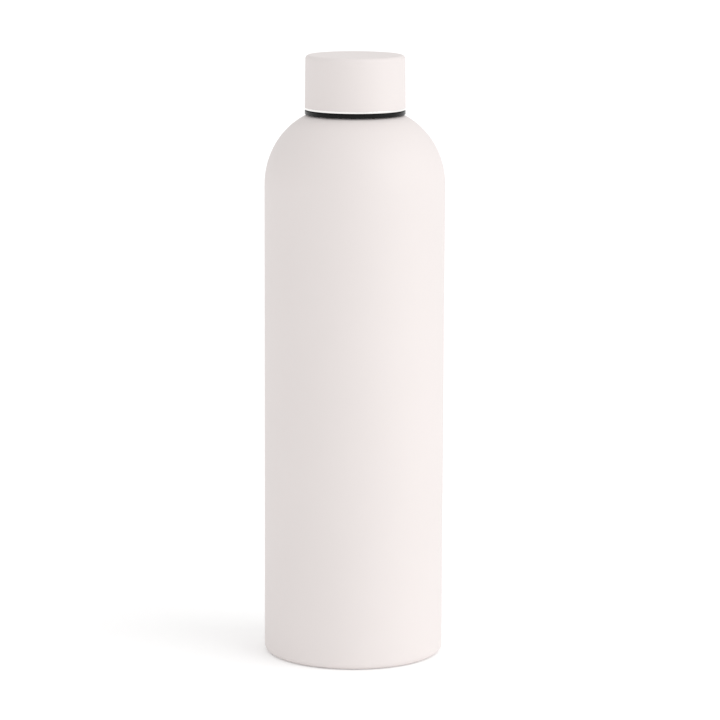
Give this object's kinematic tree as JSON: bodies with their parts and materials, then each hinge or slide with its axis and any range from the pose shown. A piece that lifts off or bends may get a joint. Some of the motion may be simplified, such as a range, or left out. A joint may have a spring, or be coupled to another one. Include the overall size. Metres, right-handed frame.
{
  "type": "insulated water bottle",
  "caption": "Slim double-walled steel vacuum bottle with a matte off-white coat, rounded shoulder, black collar ring and a straight-sided screw cap.",
  "frame": {"origin": "centre of the plane the foot ring stands on, on the bottle's axis", "axes": "+Z along the bottle's axis, up towards the cap; the bottle looks the same all round, so +X and +Y are free choices, with the small getter on the +X side"},
  "size_m": [0.083, 0.083, 0.2786],
  "materials": {
    "painted_steel": "matte",
    "bare_steel": "satin",
    "foil": "gloss",
    "getter_alloy": "matte",
    "sealing_glass": "gloss",
    "black_plastic": "satin",
    "foam": "matte",
    "silicone": "satin"
  },
  "bodies": {
    "bottle": {"outer_shell": "painted_steel", "inner_liner": "bare_steel", "inner_base_cup": "bare_steel", "foil_wrap": "foil", "outer_base_cup": "bare_steel", "vacuum_seal_bead": "sealing_glass", "base_cover_plate": "bare_steel", "getter_holder": "bare_steel", "getter_pellet": "getter_alloy"},
    "cap_seal": {"seal_ring": "silicone"},
    "cap": {"cap_shell": "painted_steel", "cap_liner": "black_plastic", "plug_cup": "black_plastic", "plug_foam_core": "foam", "cap_foam_disc": "foam"}
  },
  "joints": [
    {"name": "cap_lift", "type": "slide", "parent": "bottle", "child": "cap_seal", "axis": [0, 0, 1], "range_m": [0, 0.03]},
    {"name": "cap_turn", "type": "hinge", "parent": "cap_seal", "child": "cap", "pos_m": [0, 0, 0.2545], "axis": [0, 0, 1], "range_deg": [0, 2160]}
  ],
  "couplings": [
    {"joint": "cap_lift", "follows": "cap_turn", "m_per_rad": 0.00079577}
  ]
}
